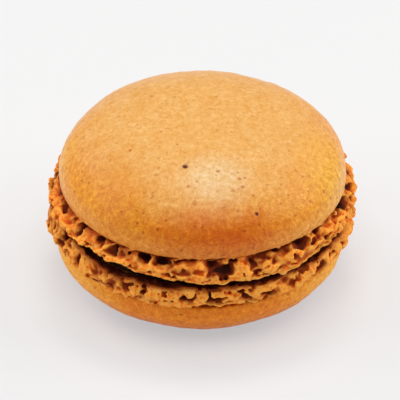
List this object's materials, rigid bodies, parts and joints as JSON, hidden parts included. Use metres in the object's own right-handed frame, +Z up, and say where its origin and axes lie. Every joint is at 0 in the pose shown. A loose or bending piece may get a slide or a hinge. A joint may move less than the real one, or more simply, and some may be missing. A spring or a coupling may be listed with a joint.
{
  "type": "french macaron",
  "caption": "French macaron: smooth almond shells with frilly porous feet, pressed together over a thin dark filling.",
  "frame": {"origin": "on the table plane, under the middle of the whole outline", "axes": "+Z up, from the lower shell to the upper shell; -Y is the front, the side with the widest burst cavity under the upper lip"},
  "size_m": [0.0446, 0.045, 0.0262],
  "materials": {
    "baked_shell": "matte",
    "filling": "satin"
  },
  "bodies": {
    "root": {"lower_shell": "baked_shell", "filling": "filling", "upper_shell": "baked_shell"}
  },
  "joints": []
}
